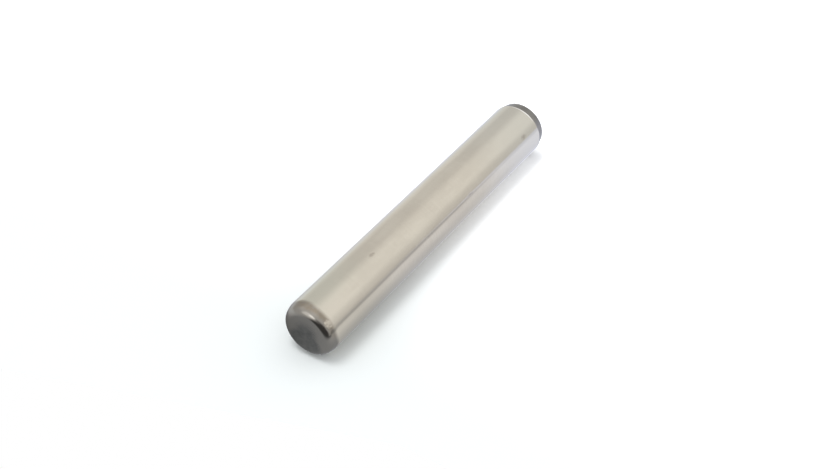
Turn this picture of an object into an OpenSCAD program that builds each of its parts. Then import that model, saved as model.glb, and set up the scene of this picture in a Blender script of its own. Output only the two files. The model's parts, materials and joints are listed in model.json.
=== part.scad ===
// Lock pin: a plain hardened steel pin, turned and ground as one piece.
// It stands on its rounded end, with the axis along Z and the lead end up.

/* [Shank] */
// Diameter of the ground shank
pin_d = 6; // [4:0.5:16]
// Length over both ends
pin_length = 40; // [16:1:120]

/* [Rounded end] */
// Length of the short taper between the shank and the rounded corner
butt_taper_length = 0.5; // [0.1:0.05:1.2]
// Angle of that taper to the axis
butt_taper_angle = 15; // [5:1:30]
// Radius of the rounded corner
butt_corner_r = 0.9; // [0.2:0.05:1.2]

/* [Lead end] */
// Length of the taper that leads the pin into its hole
lead_taper_length = 1.05; // [0.2:0.05:2]
// Angle of the lead taper to the axis
lead_taper_angle = 15; // [5:1:30]
// Radius that breaks the edge of the end face
lead_corner_r = 0.2; // [0.05:0.05:0.6]

/* [Hidden] */

$fn = 128;

pin_r = pin_d / 2;

// Each taper ends this far inside its corner arc, so that the two join without a sliver
merge = 0.0002;

// The corner meets the taper at the rim, and the end face at the flat
butt_rim_r = pin_r - butt_taper_length * tan(butt_taper_angle);
butt_flat_r = butt_rim_r - butt_corner_r * cos(butt_taper_angle);
butt_rim_z = butt_corner_r * (1 - sin(butt_taper_angle));

lead_rim_r = pin_r - lead_taper_length * tan(lead_taper_angle);
lead_flat_r = lead_rim_r - lead_corner_r * cos(lead_taper_angle);
lead_rim_z = pin_length - lead_corner_r * (1 - sin(lead_taper_angle));

// The ground shank runs between the two tapers
shank_bottom_z = butt_rim_z + butt_taper_length;
shank_top_z = lead_rim_z - lead_taper_length;

// Half section through the axis: straight stretches, then the two corners as arcs
module half_section() {
    polygon([
        [0, 0],
        [butt_flat_r, 0],
        [butt_rim_r - merge, butt_rim_z],
        [pin_r, shank_bottom_z],
        [pin_r, shank_top_z],
        [lead_rim_r - merge, lead_rim_z],
        [lead_flat_r, pin_length],
        [0, pin_length],
    ]);
    translate([butt_flat_r, butt_corner_r])
        circle(r = butt_corner_r);
    translate([lead_flat_r, pin_length - lead_corner_r])
        circle(r = lead_corner_r);
}

module lock_pin() {
    color("#CBC5B8")
        rotate_extrude()
            half_section();
}

lock_pin();
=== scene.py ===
import json
import math

import bmesh
import bpy
from mathutils import Matrix
from mathutils import Vector


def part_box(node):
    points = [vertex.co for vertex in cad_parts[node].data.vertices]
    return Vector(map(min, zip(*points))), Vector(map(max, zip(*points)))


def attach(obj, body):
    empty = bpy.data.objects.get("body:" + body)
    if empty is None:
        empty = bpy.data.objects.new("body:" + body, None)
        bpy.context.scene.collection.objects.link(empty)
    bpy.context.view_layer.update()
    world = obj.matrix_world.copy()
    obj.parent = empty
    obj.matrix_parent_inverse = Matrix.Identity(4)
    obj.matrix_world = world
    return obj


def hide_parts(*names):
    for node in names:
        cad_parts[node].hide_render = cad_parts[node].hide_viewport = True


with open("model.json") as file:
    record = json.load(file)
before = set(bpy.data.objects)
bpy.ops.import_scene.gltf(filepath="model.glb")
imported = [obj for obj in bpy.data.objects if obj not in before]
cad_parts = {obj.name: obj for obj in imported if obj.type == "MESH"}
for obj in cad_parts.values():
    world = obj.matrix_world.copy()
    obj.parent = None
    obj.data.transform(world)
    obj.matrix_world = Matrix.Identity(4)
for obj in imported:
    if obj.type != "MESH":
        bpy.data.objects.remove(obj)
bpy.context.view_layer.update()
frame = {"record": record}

mm = 0.001

# The pin stands along Z, and the camera sees it lying on its side, so the bench it lies on is upright.
# benchUp points away from that bench, and pinAxis runs from the rounded end to the lead end.
lay = {
    "benchTurn": 45.0,   # degrees round Z, which way the bench's upper side faces
    "pinTurn": 33.66,    # degrees, from straight ahead to the pin's axis, seen from above the bench
}
facing = math.radians(lay["benchTurn"])
pinAxis = Vector((0, 0, 1))
benchUp = Vector((math.sin(facing), -math.cos(facing), 0))
pinSide = pinAxis.cross(benchUp)
turn = math.radians(lay["pinTurn"])
ahead = math.cos(turn) * pinAxis - math.sin(turn) * pinSide
right = math.sin(turn) * pinAxis + math.cos(turn) * pinSide

pinLow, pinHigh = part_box("lock_pin")
pinLength = pinHigh.z - pinLow.z
shankMount = next(m for m in frame["record"]["mounts"] if m["name"] == "shank")
shankRadius = shankMount["dims"]["r_mm"] * mm
pinMiddle = Vector((0, 0, pinLow.z + pinLength / 2))


# Lock pin: a dense turned skin with softened borders and a few small nicks
pin = {
    "segments": 288,
    "buttTaperLength": 0.5 * mm,
    "buttTaperAngle": 15.0,
    "buttCornerRadius": 0.9 * mm,
    "buttBlendRadius": 2.0 * mm,    # soft border between shank and rounded end
    "leadTaperLength": 1.05 * mm,
    "leadTaperAngle": 15.0,
    "leadCornerRadius": 0.2 * mm,
    "leadBlendRadius": 0.25 * mm,   # crisp border between shank and lead taper
    "faceRings": 14,
    "cornerSteps": 26,
    "taperSteps": 6,
    "blendSteps": 8,
    "shankStep": 0.8 * mm,
    "nickStep": 0.05 * mm,          # ring spacing through a nick
    "nickReach": 1.3,               # half lengths either side of a nick that have close rings
    "leastGap": 0.6,                # share of nickStep, under which a ring is left out
    "decimals": 9,                  # of a metre, in the ring heights
    "ragged": ((0.30, 3, 0.0), (0.18, 5, 1.3)),  # nick rims: share, waves round, where they start
}

# Nicks: height up the pin, degrees round from benchUp towards pinSide,
# half length, half width and depth
nicks = [
    {"height": 10.2 * mm, "round": 12.2, "long": 0.55 * mm, "wide": 0.28 * mm, "deep": 0.011 * mm},
    {"height": 36.2 * mm, "round": 55.5, "long": 0.70 * mm, "wide": 0.32 * mm, "deep": 0.009 * mm},
    {"height": 25.1 * mm, "round": 63.5, "long": 0.70 * mm, "wide": 0.18 * mm, "deep": 0.006 * mm},
    {"height": 15.4 * mm, "round": -118.0, "long": 0.80 * mm, "wide": 0.20 * mm, "deep": 0.006 * mm},
    {"height": 31.0 * mm, "round": 171.0, "long": 0.50 * mm, "wide": 0.26 * mm, "deep": 0.008 * mm},
]


def endOutline(taperLength, taperDegrees, cornerRadius, blendRadius):
    # Radius and depth from the end face, running from the axis out to the start of the shank
    angle = math.radians(taperDegrees)
    rimRadius = shankRadius - taperLength * math.tan(angle)
    flatRadius = rimRadius - cornerRadius * math.cos(angle)
    rimDepth = cornerRadius * (1 - math.sin(angle))
    borderDepth = rimDepth + taperLength
    points = [(flatRadius * k / pin["faceRings"], 0.0) for k in range(pin["faceRings"] + 1)]
    for k in range(1, pin["cornerSteps"] + 1):
        lean = math.pi / 2 - (math.pi / 2 - angle) * k / pin["cornerSteps"]
        depth = cornerRadius * (1 - math.sin(lean))
        points.append((flatRadius + cornerRadius * math.cos(lean), depth))
    # The taper runs on to where the blend into the shank begins
    reach = blendRadius * math.tan(angle / 2)
    blendStart = borderDepth - reach * math.cos(angle)
    for k in range(1, pin["taperSteps"] + 1):
        depth = rimDepth + (blendStart - rimDepth) * k / pin["taperSteps"]
        points.append((rimRadius + (depth - rimDepth) * math.tan(angle), depth))
    for k in range(1, pin["blendSteps"] + 1):
        lean = angle * (1 - k / pin["blendSteps"])
        radius = shankRadius - blendRadius * (1 - math.cos(lean))
        points.append((radius, borderDepth + reach - blendRadius * math.sin(lean)))
    return points, borderDepth


def shankHeights(start, end):
    # Even rings along the shank, with close ones through each nick
    count = math.ceil((end - start) / pin["shankStep"])
    heights = {round(start + (end - start) * k / count, pin["decimals"]) for k in range(1, count)}
    for nick in nicks:
        steps = math.ceil(nick["long"] * pin["nickReach"] / pin["nickStep"])
        for k in range(-steps, steps + 1):
            heights.add(round(nick["height"] + k * pin["nickStep"], pin["decimals"]))
    heights = sorted(heights)
    kept = [heights[0]]
    for height in heights[1:]:
        if height - kept[-1] > pin["nickStep"] * pin["leastGap"]:
            kept.append(height)
    return kept


def nickDepth(height, degrees):
    depth = 0.0
    for nick in nicks:
        along = (height - nick["height"]) / nick["long"]
        swing = (degrees - nick["round"] + 180) % 360 - 180
        across = math.radians(swing) * shankRadius / nick["wide"]
        # A ragged rim, different on each nick
        bearing = math.atan2(across, along) + nick["round"]
        ragged = 1
        for share, waves, start in pin["ragged"]:
            ragged += share * math.sin(waves * bearing + start)
        away = (along * along + across * across) * ragged
        if away < 1:
            depth = max(depth, nick["deep"] * (1 - away) ** 2)
    return depth


def buildPin():
    butt, buttBorder = endOutline(pin["buttTaperLength"], pin["buttTaperAngle"],
                                  pin["buttCornerRadius"], pin["buttBlendRadius"])
    lead, leadBorder = endOutline(pin["leadTaperLength"], pin["leadTaperAngle"],
                                  pin["leadCornerRadius"], pin["leadBlendRadius"])
    rings = [(r, pinLow.z + d) for r, d in butt[1:]]
    rings += [(shankRadius, z) for z in shankHeights(rings[-1][1], pinHigh.z - lead[-1][1])]
    rings += [(r, pinHigh.z - d) for r, d in reversed(lead[1:])]
    mesh = bpy.data.meshes.new("lockPinSkin")
    bm = bmesh.new()
    loops = []
    for radius, height in rings:
        loop = []
        for k in range(pin["segments"]):
            degrees = 360 * k / pin["segments"]
            spin = math.radians(degrees)
            away = radius - nickDepth(height, degrees)
            spot = away * (math.cos(spin) * benchUp + math.sin(spin) * pinSide)
            loop.append(bm.verts.new((spot.x, spot.y, height)))
        loops.append(loop)
    for lower, upper in zip(loops, loops[1:]):
        for k in range(pin["segments"]):
            n = (k + 1) % pin["segments"]
            bm.faces.new((lower[k], lower[n], upper[n], upper[k]))
    for loop, height, flip in ((loops[0], pinLow.z, True), (loops[-1], pinHigh.z, False)):
        centre = bm.verts.new((0, 0, height))
        for k in range(pin["segments"]):
            n = (k + 1) % pin["segments"]
            corner = (loop[n], loop[k], centre) if flip else (loop[k], loop[n], centre)
            bm.faces.new(corner)
    bmesh.ops.recalc_face_normals(bm, faces=bm.faces)
    for face in bm.faces:
        face.smooth = True
    bm.to_mesh(mesh)
    bm.free()
    piece = bpy.data.objects.new("lockPinBody", mesh)
    bpy.context.scene.collection.objects.link(piece)
    print("lock pin skin:", len(mesh.vertices), "points,", len(mesh.polygons), "faces")
    return piece, buttBorder, leadBorder


pinPiece, buttBorderDepth, leadBorderDepth = buildPin()


# Small helpers for node trees
def addNode(tree, kind, **settings):
    node = tree.nodes.new(kind)
    for key, value in settings.items():
        setattr(node, key, value)
    return node


def plug(tree, socket, source):
    if isinstance(source, bpy.types.NodeSocket):
        tree.links.new(source, socket)
    else:
        socket.default_value = source


def calc(tree, operation, a, b=None, clamp=False):
    node = addNode(tree, "ShaderNodeMath", operation=operation, use_clamp=clamp)
    plug(tree, node.inputs[0], a)
    if b is not None:
        plug(tree, node.inputs[1], b)
    return node.outputs[0]


def plus(tree, a, b, clamp=False):
    return calc(tree, "ADD", a, b, clamp)


def minus(tree, a, b):
    return calc(tree, "SUBTRACT", a, b)


def times(tree, a, b, clamp=False):
    return calc(tree, "MULTIPLY", a, b, clamp)


def eitherSide(tree, value, amount):
    # A value from 0 to 1, as a shift either side of zero
    return times(tree, minus(tree, value, 0.5), amount)


def cosOf(degrees):
    return math.cos(math.radians(degrees))


def dotWith(tree, vector, direction):
    node = addNode(tree, "ShaderNodeVectorMath", operation="DOT_PRODUCT")
    plug(tree, node.inputs[0], vector)
    node.inputs[1].default_value = direction
    return node.outputs["Value"]


def ease(tree, value, low, high, toLow=0.0, toHigh=1.0):
    # Smooth step from toLow at low to toHigh at high
    node = addNode(tree, "ShaderNodeMapRange", interpolation_type="SMOOTHSTEP")
    plug(tree, node.inputs["Value"], value)
    node.inputs["From Min"].default_value = low
    node.inputs["From Max"].default_value = high
    node.inputs["To Min"].default_value = toLow
    node.inputs["To Max"].default_value = toHigh
    return node.outputs["Result"]


def scaled(tree, vector, factors):
    node = addNode(tree, "ShaderNodeVectorMath", operation="MULTIPLY")
    plug(tree, node.inputs[0], vector)
    node.inputs[1].default_value = factors
    return node.outputs["Vector"]


def placeInMillimetres(tree):
    where = addNode(tree, "ShaderNodeTexCoord").outputs["Object"]
    return scaled(tree, where, (1 / mm, 1 / mm, 1 / mm))


def noise(tree, vector, scale, detail, roughness=0.5):
    node = addNode(tree, "ShaderNodeTexNoise")
    plug(tree, node.inputs["Vector"], vector)
    node.inputs["Scale"].default_value = scale
    node.inputs["Detail"].default_value = detail
    node.inputs["Roughness"].default_value = roughness
    return node.outputs["Fac"]


def mixColour(tree, factor, a, b, blend="MIX"):
    node = addNode(tree, "ShaderNodeMix", data_type="RGBA", blend_type=blend)
    plug(tree, node.inputs[0], factor)
    plug(tree, node.inputs[6], a)   # the mix node's colour sockets come after its others
    plug(tree, node.inputs[7], b)
    return node.outputs[2]


def mixValue(tree, factor, a, b):
    node = addNode(tree, "ShaderNodeMix", data_type="FLOAT")
    plug(tree, node.inputs[0], factor)
    plug(tree, node.inputs[2], a)
    plug(tree, node.inputs[3], b)
    return node.outputs[0]


# Finish of the pin: bright ground shank, burnished dark corners and tapers, dull end faces
finish = {
    "shankBright": (0.66, 0.61, 0.52, 1),
    "shankDull": (0.61, 0.56, 0.475, 1),
    "shankCool": (0.595, 0.578, 0.515, 1),  # towards the lead end
    "nearCool": (0.568, 0.567, 0.478, 1),   # on the dull side near the rounded end
    "buttBrown": (0.285, 0.246, 0.196, 1),
    "buttGrey": (0.300, 0.282, 0.254, 1),
    "leadGrey": (0.265, 0.25, 0.226, 1),
    "leadDark": (0.208, 0.20, 0.184, 1),
    "faceGrey": (0.208, 0.204, 0.192, 1),
    "faceDark": (0.160, 0.158, 0.150, 1),
    "nickDull": (0.36, 0.32, 0.265, 1),
    # Painted glint along the edge of the lead taper
    "paintedGlint": (0.93, 0.91, 0.87, 1),
    "edgeTint": 0.81,             # how much of the mirror's brightening is left at a grazing view
    "smear": 0.4,                 # how much mirror images smear
    "smearTurn": 0.25,            # of a full turn, so that they smear along the pin

    # Roughness
    "shankRoughness": 0.15,
    "ringRoughness": 0.06,        # how much the grinding rings shift it
    "cornerRoughness": 0.14,
    "leadRoughness": 0.30,
    "mottleRoughness": 0.10,      # how much the mottle shifts the roughness of the ends
    "faceRoughness": 0.42,
    "nickRoughness": 0.35,

    # Noise: scale to a millimetre, detail, roughness
    "wanderNoise": (0.9, 2.0),
    "fringeNoise": (3.4, 4.0, 0.6),
    "patchNoise": (1.0, 3.0),
    "ringNoise": (1.0, 4.0, 0.65),
    "mottleNoise": (1.6, 5.0, 0.6),
    "turnedNoise": (1.0, 2.0),
    "frayNoise": (3.2, 3.0),
    "grainNoise": (9.0, 3.0),
    "patchStretch": (0.5, 0.5, 0.16),  # long patches up the shank
    "ringStretch": (0.35, 0.35, 9.0),  # fine rings round it
    "turnedRings": 7.0,           # turning rings to a millimetre on the faces

    # Where the ground shank ends, in mm and in degrees round
    "borderWander": 0.16,         # how far the ground border wanders
    "buttBorderRise": 0.10,       # how far up the shank it lies at the rounded end
    "buttBorderSoft": 0.26,       # half width of that border
    "leadBorderSoft": 0.04,       # half width of the border at the lead end
    "runOutAngle": 50.0,          # where the wheel ran further down the rounded end
    "runOutWide": 60.0,           # how wide that is to either side
    "runOut": 0.27,               # how much further it ran
    "scuff": 0.72,                # how bright the narrow scuff there is, 1 as the shank
    "scuffSpan": (0.20, 0.58),    # height over which it narrows to a point
    "scuffWide": (10.0, 3.0),     # to either side, where it begins and where it is full
    "scuffNarrow": 0.016,         # how much it narrows
    "scuffFringe": 0.034,         # how ragged its sides are
    "endShares": (0.4, 0.6),      # of the pin's length, where one end's finish gives way to the other's

    # Tone of the shank
    "ringShare": 0.3,             # of the grinding rings, the rest is patches
    "toneSpan": (0.38, 0.62),
    "leanAngle": 95.0,            # degrees round, the side that is brighter near the rounded end
    "leanSpan": (20.0, 6.0),      # mm up the pin, over which that grows
    "lean": 0.75,                 # how far it shifts from dull to bright
    "dullNearSpan": (-0.2, 0.5),  # cosine from that side, over which the cool tone ends
    "coolNearSpan": (12.0, 3.0),  # mm up the pin
    "coolNear": 0.55,
    "coolFarSpan": (24.0, 38.0),  # mm up the pin
    "coolFar": 0.7,

    # Tone of the ends
    "faceInner": 0.4,             # mm from the axis, where the dull face starts to brighten
    "faceOuter": 1.7,             # mm from the axis, where the burnished corner is reached
    "dullAngle": -170.0,          # degrees round, where the dull face reaches further out
    "dullSpan": (0.0, 0.75),      # cosine from that side, over which the reach grows
    "dullReach": 1.4,             # mm, how much further there
    "mottleSpan": (0.35, 0.65),
    "brownAngle": 20.0,           # degrees round, the middle of the brown side of the rounded end
    "brownSpan": (0.3, 0.9),      # cosine from that middle, from none to full
    "brownHeights": (0.2, 0.75),  # mm up the pin
    "brownLeast": 0.5,
    "turnedShare": 0.3,           # of the turning rings on a face, the rest is mottle
    "faceSpan": (0.36, 0.64),

    # Painted glint: a bright line along the edge of the lead taper
    "glintAngle": 16.0,            # degrees round, the middle of the line
    "glintReach": (34.0, 12.0),    # degrees to either side, where it begins and where it is full
    "glintRagged": 0.12,
    "glintWide": 0.085,            # mm, half width
    "glintCore": 0.3,              # share of that which is full

    # Nicks and relief
    "nickFray": 0.9,
    "nickSpan": (0.1, 1.0),       # half lengths from the middle, from full to none
    "nickDark": 58.0,             # how dull a nick is, for each mm of its depth
    "ringRelief": 0.35,
    "reliefStrength": 0.25,
    "reliefDepth": 0.004 * mm,
}


def directionRound(degrees):
    spin = math.radians(degrees)
    return math.cos(spin) * benchUp + math.sin(spin) * pinSide


def placeOnPin(tree):
    # Millimetres on the pin, height, distance from the axis, and the way outward
    place = placeInMillimetres(tree)
    parts = addNode(tree, "ShaderNodeSeparateXYZ")
    tree.links.new(place, parts.inputs[0])
    flatPlace = scaled(tree, place, (1, 1, 0))
    length = addNode(tree, "ShaderNodeVectorMath", operation="LENGTH")
    tree.links.new(flatPlace, length.inputs[0])
    outward = addNode(tree, "ShaderNodeVectorMath", operation="NORMALIZE")
    tree.links.new(flatPlace, outward.inputs[0])
    return place, parts.outputs["Z"], length.outputs["Value"], outward.outputs["Vector"]


def turningRings(tree, fromAxis):
    node = addNode(tree, "ShaderNodeCombineXYZ")
    tree.links.new(times(tree, fromAxis, finish["turnedRings"]), node.inputs["X"])
    return noise(tree, node.outputs["Vector"], *finish["turnedNoise"])


def nickMask(tree, place):
    # 1 in the middle of a deep nick, 0 outside all of them
    fray = eitherSide(tree, noise(tree, place, *finish["frayNoise"]), finish["nickFray"])
    held = None
    for nick in nicks:
        spot = shankRadius * directionRound(nick["round"]) + Vector((0, 0, nick["height"]))
        offset = addNode(tree, "ShaderNodeVectorMath", operation="SUBTRACT")
        tree.links.new(place, offset.inputs[0])
        offset.inputs[1].default_value = spot / mm
        shrink = (mm / nick["wide"], mm / nick["wide"], mm / nick["long"])
        span = addNode(tree, "ShaderNodeVectorMath", operation="LENGTH")
        tree.links.new(scaled(tree, offset.outputs["Vector"], shrink), span.inputs[0])
        frayed = plus(tree, span.outputs["Value"], fray)
        dullness = min(1.0, nick["deep"] / mm * finish["nickDark"])
        inside = ease(tree, frayed, *finish["nickSpan"], dullness, 0.0)
        held = inside if held is None else calc(tree, "MAXIMUM", held, inside)
    return held


def groundPinFinish(buttBorder, leadBorder):
    material = bpy.data.materials.new("groundPinSteel")
    material.use_nodes = True
    tree = material.node_tree
    tree.nodes.clear()
    output = addNode(tree, "ShaderNodeOutputMaterial")
    shader = addNode(tree, "ShaderNodeBsdfPrincipled")
    tree.links.new(shader.outputs["BSDF"], output.inputs["Surface"])
    shader.inputs["Metallic"].default_value = 1.0
    # Grinding lines run round the pin, so its mirror images smear along it
    shader.inputs["Anisotropic"].default_value = finish["smear"]
    shader.inputs["Anisotropic Rotation"].default_value = finish["smearTurn"]
    shader.inputs["Specular Tint"].default_value = (finish["edgeTint"],) * 3 + (1,)
    tangent = addNode(tree, "ShaderNodeTangent", direction_type="RADIAL", axis="Z")
    tree.links.new(tangent.outputs["Tangent"], shader.inputs["Tangent"])
    place, height, fromAxis, outward = placeOnPin(tree)

    def sideAt(degrees):
        # 1 on the side at that many degrees round, -1 on the opposite side
        return dotWith(tree, outward, directionRound(degrees))

    # Where the grinding wheel stopped at each end
    wander = eitherSide(tree, noise(tree, place, *finish["wanderNoise"]), finish["borderWander"])
    edgeHeight = plus(tree, height, wander)
    runOutSide = sideAt(finish["runOutAngle"])
    runOut = ease(tree, runOutSide, cosOf(finish["runOutWide"]), 1.0, 0.0, finish["runOut"])
    buttHeight = plus(tree, edgeHeight, runOut)
    buttLine = buttBorder / mm + finish["buttBorderRise"]
    leadLine = (pinLength - leadBorder) / mm
    buttSoft = finish["buttBorderSoft"]
    leadSoft = finish["leadBorderSoft"]
    aboveButt = ease(tree, buttHeight, buttLine - buttSoft, buttLine + buttSoft)
    belowLead = ease(tree, edgeHeight, leadLine - leadSoft, leadLine + leadSoft, 1.0, 0.0)
    fringe = eitherSide(tree, noise(tree, place, *finish["fringeNoise"]), finish["scuffFringe"])
    point = ease(tree, edgeHeight, *finish["scuffSpan"], -finish["scuffNarrow"], 0.0)
    scuffSide = plus(tree, runOutSide, plus(tree, fringe, point))
    scuffEdge, scuffFull = finish["scuffWide"]
    scuff = ease(tree, scuffSide, cosOf(scuffEdge), cosOf(scuffFull), 0.0, finish["scuff"])
    ground = times(tree, calc(tree, "MAXIMUM", aboveButt, scuff), belowLead)
    leadHalf = ease(tree, height, *(pinLength / mm * share for share in finish["endShares"]))

    # End faces brighten towards the burnished corner, less so on the side that stayed dull
    dullSide = sideAt(finish["dullAngle"])
    dullReach = ease(tree, dullSide, *finish["dullSpan"], 0.0, finish["dullReach"])
    fromDull = minus(tree, fromAxis, dullReach)
    face = ease(tree, fromDull, finish["faceInner"], finish["faceOuter"], 1.0, 0.0)

    # Shank tone: long faint patches and fine rings left by grinding
    patches = noise(tree, scaled(tree, place, finish["patchStretch"]), *finish["patchNoise"])
    rings = noise(tree, scaled(tree, place, finish["ringStretch"]), *finish["ringNoise"])
    tone = mixValue(tree, finish["ringShare"], patches, rings)
    leanSide = sideAt(finish["leanAngle"])
    lean = times(tree, leanSide, ease(tree, height, *finish["leanSpan"], 0.0, finish["lean"]))
    bright = plus(tree, ease(tree, tone, *finish["toneSpan"]), lean, True)
    shankColour = mixColour(tree, bright, finish["shankDull"], finish["shankBright"])
    dullNear = ease(tree, leanSide, *finish["dullNearSpan"], 1.0, 0.0)
    coolNear = ease(tree, height, *finish["coolNearSpan"], 0.0, finish["coolNear"])
    coolNear = times(tree, coolNear, dullNear)
    shankColour = mixColour(tree, coolNear, shankColour, finish["nearCool"])
    coolFar = ease(tree, height, *finish["coolFarSpan"], 0.0, finish["coolFar"])
    shankColour = mixColour(tree, coolFar, shankColour, finish["shankCool"])

    # End tone: mottled oxide, and faint turning marks on the faces
    mottle = noise(tree, place, *finish["mottleNoise"])
    spread = ease(tree, mottle, *finish["mottleSpan"])
    brownSide = ease(tree, sideAt(finish["brownAngle"]), *finish["brownSpan"])
    brownHeight = ease(tree, height, *finish["brownHeights"])
    brown = plus(tree, spread, finish["brownLeast"])
    brown = times(tree, times(tree, brownSide, brownHeight), brown, True)
    buttColour = mixColour(tree, brown, finish["buttGrey"], finish["buttBrown"])
    leadColour = mixColour(tree, spread, finish["leadDark"], finish["leadGrey"])
    endColour = mixColour(tree, leadHalf, buttColour, leadColour)
    faceTone = mixValue(tree, finish["turnedShare"], mottle, turningRings(tree, fromAxis))
    faceTone = ease(tree, faceTone, *finish["faceSpan"])
    faceColour = mixColour(tree, faceTone, finish["faceDark"], finish["faceGrey"])
    darkColour = mixColour(tree, face, endColour, faceColour)
    steel = mixColour(tree, ground, darkColour, shankColour)

    # Painted glint: a bright line along the edge of the lead taper, on one side
    glintWide = finish["glintWide"]
    fromGlint = calc(tree, "ABSOLUTE", minus(tree, edgeHeight, leadLine - glintWide))
    glintMask = ease(tree, fromGlint, glintWide * finish["glintCore"], glintWide, 1.0, 0.0)
    glintSide = plus(tree, sideAt(finish["glintAngle"]), eitherSide(tree, mottle, finish["glintRagged"]))
    glintBegin, glintFull = finish["glintReach"]
    glintMask = times(tree, glintMask, ease(tree, glintSide, cosOf(glintBegin), cosOf(glintFull)))
    steel = mixColour(tree, glintMask, steel, finish["paintedGlint"])

    # Dull steel in the nicks
    held = nickMask(tree, place)
    colour = mixColour(tree, held, steel, finish["nickDull"])
    tree.links.new(colour, shader.inputs["Base Color"])

    # Roughness by zone, with the grinding rings in it
    ringRough = eitherSide(tree, rings, finish["ringRoughness"])
    shankRough = plus(tree, finish["shankRoughness"], ringRough)
    cornerRough = mixValue(tree, leadHalf, finish["cornerRoughness"], finish["leadRoughness"])
    endRough = plus(tree, cornerRough, eitherSide(tree, mottle, finish["mottleRoughness"]))
    darkRough = mixValue(tree, face, endRough, finish["faceRoughness"])
    rough = mixValue(tree, ground, darkRough, shankRough)
    rough = mixValue(tree, held, rough, finish["nickRoughness"])
    tree.links.new(rough, shader.inputs["Roughness"])

    # Relief: rings on the shank, grain on the ends
    grain = noise(tree, place, *finish["grainNoise"])
    relief = mixValue(tree, ground, grain, times(tree, rings, finish["ringRelief"]))
    bump = addNode(tree, "ShaderNodeBump")
    bump.inputs["Strength"].default_value = finish["reliefStrength"]
    bump.inputs["Distance"].default_value = finish["reliefDepth"]
    tree.links.new(relief, bump.inputs["Height"])
    tree.links.new(bump.outputs["Normal"], shader.inputs["Normal"])
    print("finish: ground shank from", round(buttLine, 2), "to", round(leadLine, 2), "mm")
    return material


pinPiece.data.materials.append(groundPinFinish(buttBorderDepth, leadBorderDepth))
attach(pinPiece, "root")
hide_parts("lock_pin")
print("pin dressed")


# Floors: the pale sheet that the camera sees the pin lie on, and the level floor that it stands on
floors = {
    "sheetShadedNear": (0.575, 0.602, 0.606, 1),  # by the rounded end, darker there as painted shade
    "sheetFar": (0.93, 0.945, 0.97, 1),     # by the lead end
    "standTone": (0.93, 0.94, 0.95),
    "whiten": 1.30,          # how much paler the camera sees the sheet, so its open part is white
    "standWhiten": 1.55,     # and the level floor
    "reach": 400 * mm,
    "sheetBefore": 9.5 * mm, # from the rounded end to the sheet's near edge
    "edgeSlope": 0.35,       # how the near edge slants, rising to the right
    "slantEnd": 14 * mm,     # how far right it slants, before it runs level
    "standDrop": 0.02 * mm,  # the level floor lies just under the end face
}

# The sheet as the metal mirrors it: a painted reflection that glows for glossy rays alone, with painted
# light to the left and away from the viewer and painted shade beside the pin, by millimetres along and
# across the pin
paintedMirror = {
    "near": (0.79, 0.805, 0.83, 1),     # beside the rounded end
    "middle": (0.925, 0.94, 1.01, 1),
    "far": (1.10, 1.145, 1.34, 1),      # beside the lead end
    "middleSpan": (3.0, 15.0),          # along, from near to middle
    "farSpan": (24.0, 39.0),            # and from middle to far
    "left": (1.03, 1.07, 1.11, 1),      # left of the pin, towards the light
    "leftSpan": (-24.0, -8.0),
    "rightNear": 0.61,                  # share of the brightness that is left far to the right
    "rightFar": 0.84,
    "rightSpan": (17.0, 27.0),
    "shade": (0.67, 0.685, 0.70, 1),    # share of the brightness in the painted shade beside the pin
    "shadeSpan": (1.5, 10.5),
    "shadeAlong": (4.0, 38.0),          # the shade weakens towards the lead end
    "shadeLeast": 0.05,
    "edgeShare": 0.20,                  # share of the brightness at the near edge
    "edgeLeft": 0.80,                   # and on the left of it
    "edgeAcross": (-9.0, -2.0),         # across, from the one to the other
    "edgeFade": 5.0,                    # over this far in from the edge
    "endAt": (-6.5, 2.0),               # across and along, the painted shade left of the rounded end
    "endSpan": (2.5, 9.0),              # from its middle
    "endShare": 0.50,
    "clearSpan": (0.6, 1.8),            # across, the strip under the pin that its back sees through
    "clearEnds": (1.2, 38.2),           # along
    "clearSoft": 0.8,
}


def plate(name, corners):
    mesh = bpy.data.meshes.new(name)
    bm = bmesh.new()
    bm.faces.new([bm.verts.new(c) for c in corners])
    bm.to_mesh(mesh)
    bm.free()
    piece = bpy.data.objects.new(name, mesh)
    bpy.context.scene.collection.objects.link(piece)
    return piece


def sheetCorner(side, along):
    return Vector((0, 0, along)) + side * pinSide - shankRadius * benchUp


def startFloor(name):
    # New floor material with its output and light path
    material = bpy.data.materials.new(name)
    material.use_nodes = True
    material.cycles.emission_sampling = "NONE"
    tree = material.node_tree
    tree.nodes.clear()
    output = addNode(tree, "ShaderNodeOutputMaterial")
    path = addNode(tree, "ShaderNodeLightPath")
    return material, tree, output, path


def mixShader(tree, factor, a, b):
    node = addNode(tree, "ShaderNodeMixShader")
    plug(tree, node.inputs[0], factor)
    tree.links.new(a, node.inputs[1])
    tree.links.new(b, node.inputs[2])
    return node.outputs[0]


def dimmedBy(tree, tone, share):
    node = addNode(tree, "ShaderNodeVectorMath", operation="SCALE")
    plug(tree, node.inputs[0], tone)
    plug(tree, node.inputs["Scale"], share)
    return node.outputs["Vector"]


def paleFloor(tree, path, tone, whiten):
    # Matt floor that keeps shadows, and that the camera sees paler
    gain = mixValue(tree, path.outputs["Is Camera Ray"], 1.0, whiten)
    pale = addNode(tree, "ShaderNodeBsdfDiffuse")
    tree.links.new(dimmedBy(tree, tone, gain), pale.inputs["Color"])
    return pale.outputs[0]


def upperSideOnly(tree, shader, show):
    # Clear from below, and where show is 0
    back = addNode(tree, "ShaderNodeNewGeometry").outputs["Backfacing"]
    clear = addNode(tree, "ShaderNodeBsdfTransparent")
    front = times(tree, minus(tree, 1.0, back), show)
    return mixShader(tree, front, clear.outputs[0], shader)


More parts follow.
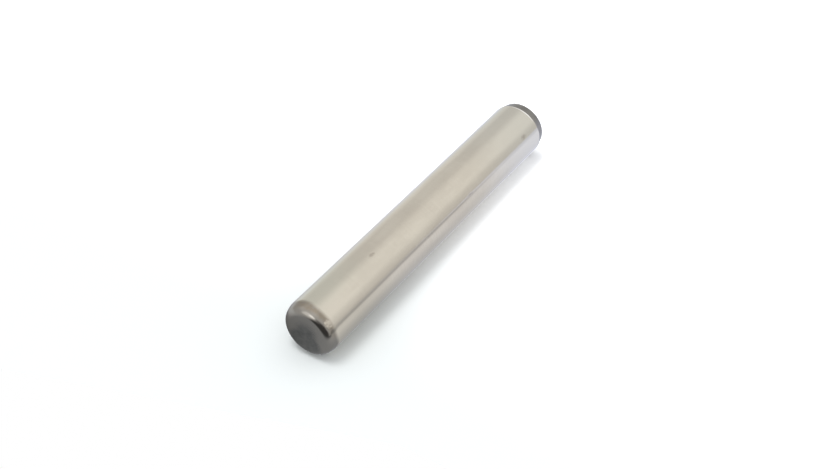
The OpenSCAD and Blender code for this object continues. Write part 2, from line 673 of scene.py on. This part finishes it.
def paintedReflectionTone(tree, where):
    # Painted reflection that the metal mirrors: painted light to the left and away from the viewer,
    # painted shade close to the pin
    along = dotWith(tree, where, ahead / math.cos(turn))
    across = dotWith(tree, where, pinSide)
    fromMiddle = calc(tree, "ABSOLUTE", across)
    further = ease(tree, along, *paintedMirror["farSpan"])
    toMiddle = ease(tree, along, *paintedMirror["middleSpan"])
    tone = mixColour(tree, toMiddle, paintedMirror["near"], paintedMirror["middle"])
    tone = mixColour(tree, further, tone, paintedMirror["far"])
    leftward = ease(tree, across, *paintedMirror["leftSpan"], 1.0, 0.0)
    tone = mixColour(tree, leftward, tone, paintedMirror["left"])
    rightShare = mixValue(tree, further, paintedMirror["rightNear"], paintedMirror["rightFar"])
    dimmed = dimmedBy(tree, tone, rightShare)
    tone = mixColour(tree, ease(tree, across, *paintedMirror["rightSpan"]), tone, dimmed)
    close = ease(tree, fromMiddle, *paintedMirror["shadeSpan"], 1.0, 0.0)
    weaken = ease(tree, along, *paintedMirror["shadeAlong"], 1.0, paintedMirror["shadeLeast"])
    tone = mixColour(tree, times(tree, close, weaken), tone, paintedMirror["shade"], "MULTIPLY")
    # Painted reflection darker at the near edge, and painted shade left of the rounded end
    edge = (pinLow.z - floors["sheetBefore"]) / mm
    slant = calc(tree, "MINIMUM", across, floors["slantEnd"] / mm)
    slant = times(tree, slant, floors["edgeSlope"])
    fromEdge = minus(tree, dotWith(tree, where, pinAxis), slant)
    edgeLeast = ease(tree, across, *paintedMirror["edgeAcross"], paintedMirror["edgeLeft"], paintedMirror["edgeShare"])
    inward = ease(tree, fromEdge, edge, edge + paintedMirror["edgeFade"])
    edgeShare = mixValue(tree, inward, edgeLeast, 1.0)
    endAcross, endAlong = paintedMirror["endAt"]
    toEnd = addNode(tree, "ShaderNodeVectorMath", operation="DISTANCE")
    tree.links.new(where, toEnd.inputs[0])
    toEnd.inputs[1].default_value = sheetCorner(endAcross * mm, endAlong * mm) / mm
    endShare = ease(tree, toEnd.outputs["Value"], *paintedMirror["endSpan"], paintedMirror["endShare"], 1.0)
    return dimmedBy(tree, tone, times(tree, edgeShare, endShare))


def clearStrip(tree, where):
    # The strip under the pin, 1 in its middle
    height = dotWith(tree, where, pinAxis)
    fromMiddle = calc(tree, "ABSOLUTE", dotWith(tree, where, pinSide))
    low, high = paintedMirror["clearEnds"]
    soft = paintedMirror["clearSoft"]
    clear = ease(tree, fromMiddle, *paintedMirror["clearSpan"], 1.0, 0.0)
    clear = times(tree, clear, ease(tree, height, low, low + soft))
    return times(tree, clear, ease(tree, height, high, high + soft, 1.0, 0.0))


def sheetFinish():
    material, tree, output, path = startFloor("sheetPaintedShadeAndReflection")
    where = placeInMillimetres(tree)
    # Painted shade: the sheet's tone darkens towards the rounded end
    rise = ease(tree, dotWith(tree, where, pinAxis), pinLow.z / mm, pinHigh.z / mm)
    sheetToneAndShade = mixColour(tree, rise, floors["sheetShadedNear"], floors["sheetFar"])
    matt = paleFloor(tree, path, sheetToneAndShade, floors["whiten"])
    # Painted reflection: glossy rays see the sheet glow with this tone, not its lit colour
    paintedReflectionGlow = addNode(tree, "ShaderNodeEmission")
    tree.links.new(paintedReflectionTone(tree, where), paintedReflectionGlow.inputs["Color"])
    glossy = path.outputs["Is Glossy Ray"]
    seen = mixShader(tree, glossy, matt, paintedReflectionGlow.outputs[0])
    # The pin's back sees through the strip under it, and so mirrors the surround
    show = minus(tree, 1.0, times(tree, clearStrip(tree, where), glossy))
    tree.links.new(upperSideOnly(tree, seen, show), output.inputs["Surface"])
    return material


def standFloorFinish():
    # Seen by the camera alone, so that it takes no part in the light
    material, tree, output, path = startFloor("standFloorWhite")
    matt = paleFloor(tree, path, floors["standTone"], floors["standWhiten"])
    shown = upperSideOnly(tree, matt, path.outputs["Is Camera Ray"])
    tree.links.new(shown, output.inputs["Surface"])
    return material


reach = floors["reach"]
nearEdge = pinLow.z - floors["sheetBefore"]
slantTop = nearEdge + floors["edgeSlope"] * floors["slantEnd"]
sheet = plate("paleSheet", [
    sheetCorner(-reach, nearEdge - floors["edgeSlope"] * reach),
    sheetCorner(floors["slantEnd"], slantTop),
    sheetCorner(reach, slantTop),
    sheetCorner(reach, pinHigh.z + reach),
    sheetCorner(-reach, pinHigh.z + reach),
])
sheet.data.materials.append(sheetFinish())
level = pinLow.z - floors["standDrop"]
standFloor = plate("standFloor", [
    Vector((-reach, -reach, level)),
    Vector((reach, -reach, level)),
    Vector((reach, reach, level)),
    Vector((-reach, reach, level)),
])
standFloor.data.materials.append(standFloorFinish())
print("floors laid")


# Light: an even pale surround, with a long soft box over the pin and a bright panel to its left
light = {
    "surround": 0.80,
    "boxGlow": 0.20,           # how much brighter the soft box is than the surround
    "boxLeft": (-30.0, 10.0),  # degrees from straight up towards pinSide, where the box begins
    "boxRight": (46.0, 78.0),  # and where it fades out
    "least": 0.10,             # darkest that a patch may make it
    "lampStrength": 1.0,       # soft lamp overhead, which gives the floor its shadow
    "lampSpread": 24.0,        # degrees
    "lampFrom": (78.0, -95.0), # degrees above the sheet, degrees right of straight ahead
}


def towards(elevation, azimuth):
    # Direction by degrees above the sheet and degrees right of straight ahead
    rise = math.radians(elevation)
    swing = math.radians(azimuth)
    level = math.cos(swing) * ahead + math.sin(swing) * right
    return (math.cos(rise) * level + math.sin(rise) * benchUp).normalized()


# Soft patches of the surround: where, full and outer angle in degrees, change in brightness
softPatches = [
    # Light from the left
    {"elevation": 62, "azimuth": -90, "full": 20, "outer": 50, "change": 0.30},
    # Bright panel, and its brighter corner
    {"elevation": 19, "azimuth": -126, "full": 10, "outer": 26, "change": 0.76},
    {"elevation": 22, "azimuth": -137, "full": 5, "outer": 13, "change": 1.05},
    # Pale on the far side, and behind the sheet
    {"elevation": -2, "azimuth": -8, "full": 5, "outer": 22, "change": 0.20},
    {"elevation": -90, "azimuth": 0, "full": 10, "outer": 60, "change": 0.15},
    # Darker on the right
    {"elevation": -12, "azimuth": 100, "full": 10, "outer": 27, "change": -0.22},
    # Dark behind the viewer, and further right
    {"elevation": -4, "azimuth": -166, "full": 11, "outer": 40, "change": -0.78},
    {"elevation": -14, "azimuth": 165, "full": 8, "outer": 20, "change": -0.35},
    # Dark below the near edge
    {"elevation": -24, "azimuth": -144, "full": 12, "outer": 24, "change": -0.90},
]


def lightSurround():
    world = bpy.data.worlds.new("surround")
    bpy.context.scene.world = world
    world.use_nodes = True
    tree = world.node_tree
    tree.nodes.clear()
    output = addNode(tree, "ShaderNodeOutputWorld")
    way = addNode(tree, "ShaderNodeTexCoord").outputs["Generated"]
    # Angle across the pin, from straight up towards pinSide
    tilt = calc(tree, "ARCTAN2", dotWith(tree, way, pinSide), dotWith(tree, way, benchUp))
    begin = ease(tree, tilt, *map(math.radians, light["boxLeft"]))
    fade = ease(tree, tilt, *map(math.radians, light["boxRight"]), 1.0, 0.0)
    box = times(tree, times(tree, begin, fade), light["boxGlow"])
    level = plus(tree, box, light["surround"])
    for patch in softPatches:
        near = dotWith(tree, way, towards(patch["elevation"], patch["azimuth"]))
        outer = cosOf(patch["outer"])
        full = cosOf(patch["full"])
        level = plus(tree, level, ease(tree, near, outer, full, 0.0, patch["change"]))
    level = calc(tree, "MAXIMUM", level, light["least"])
    glow = addNode(tree, "ShaderNodeBackground")
    glow.inputs["Color"].default_value = (1, 1, 1, 1)
    tree.links.new(level, glow.inputs["Strength"])
    white = addNode(tree, "ShaderNodeBackground")
    white.inputs["Color"].default_value = (1, 1, 1, 1)
    white.inputs["Strength"].default_value = 1.0
    isCamera = addNode(tree, "ShaderNodeLightPath").outputs["Is Camera Ray"]
    shown = mixShader(tree, isCamera, glow.outputs[0], white.outputs[0])
    tree.links.new(shown, output.inputs["Surface"])


def overheadLamp():
    # Lights the floors alone: the metal mirrors the surround
    lamp = bpy.data.lights.new("overheadLamp", "SUN")
    lamp.energy = light["lampStrength"]
    lamp.angle = math.radians(light["lampSpread"])
    holder = bpy.data.objects.new("overheadLamp", lamp)
    holder.matrix_world = towards(*light["lampFrom"]).to_track_quat("Z", "Y").to_matrix().to_4x4()
    holder.visible_glossy = False
    bpy.context.scene.collection.objects.link(holder)


lightSurround()
overheadLamp()
print("light set")


# Camera at the photograph's viewing angle
shot = {
    "lens": 73.12,          # mm
    "sensorWide": 36.0,     # mm
    "clipStart": 5 * mm,
    "lookDown": 40.60,      # degrees below level, seen from the bench
    "depth": 175.11 * mm,   # from the camera to the middle of the pin, along the view
    "middleRight": 0.363 * mm,  # where the middle of the pin lies from the middle of the view
    "middleUp": 1.346 * mm,
}


def setCamera():
    camera = bpy.data.cameras.new("photoView")
    camera.sensor_fit = "HORIZONTAL"
    camera.sensor_width = shot["sensorWide"]
    camera.lens = shot["lens"]
    camera.clip_start = shot["clipStart"]
    down = math.radians(shot["lookDown"])
    forward = math.cos(down) * ahead - math.sin(down) * benchUp
    upward = math.sin(down) * ahead + math.cos(down) * benchUp
    pose = Matrix((right, upward, -forward)).transposed().to_4x4()
    aim = pinMiddle - shot["middleRight"] * right - shot["middleUp"] * upward
    pose.translation = aim - shot["depth"] * forward
    eye = bpy.data.objects.new("photoView", camera)
    eye.matrix_world = pose
    bpy.context.scene.collection.objects.link(eye)
    bpy.context.scene.camera = eye


setCamera()
bpy.context.scene.view_settings.view_transform = "Standard"
print("camera set")

bpy.context.view_layer.update()
